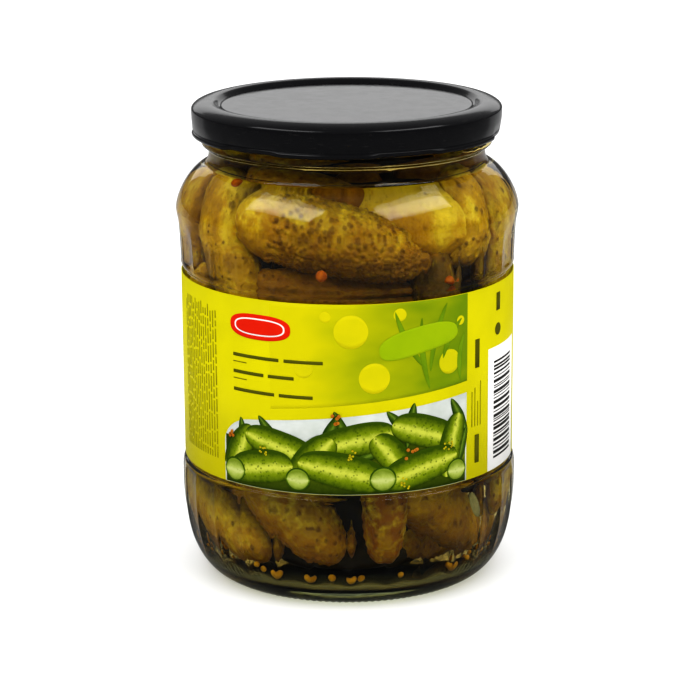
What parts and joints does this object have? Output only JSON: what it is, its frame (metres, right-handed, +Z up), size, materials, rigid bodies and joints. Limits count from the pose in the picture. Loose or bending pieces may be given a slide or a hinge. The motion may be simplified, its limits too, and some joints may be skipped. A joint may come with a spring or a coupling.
{
  "type": "pickle jar",
  "caption": "Shut glass jar of pickled gherkins in brine, with a fluted body, a black twist-off cap and a wrapped paper label.",
  "frame": {"origin": "middle of the base, on the surface that the jar stands on", "axes": "+Z up along the jar's axis; the label's front faces -Y; +X is to the right of the label"},
  "size_m": [0.0956, 0.0956, 0.1343],
  "materials": {
    "glass": "clear, slightly green glass, smooth",
    "cap_enamel": "glossy black enamel on thin sheet",
    "label_paper": "coated paper, printed in yellow, green and white",
    "gherkin": "wet olive and mustard skin with warts"
  },
  "bodies": {
    "root": {"jar": "glass", "cap": "cap_enamel", "label": "label_paper", "pickles": "gherkin"}
  },
  "joints": []
}
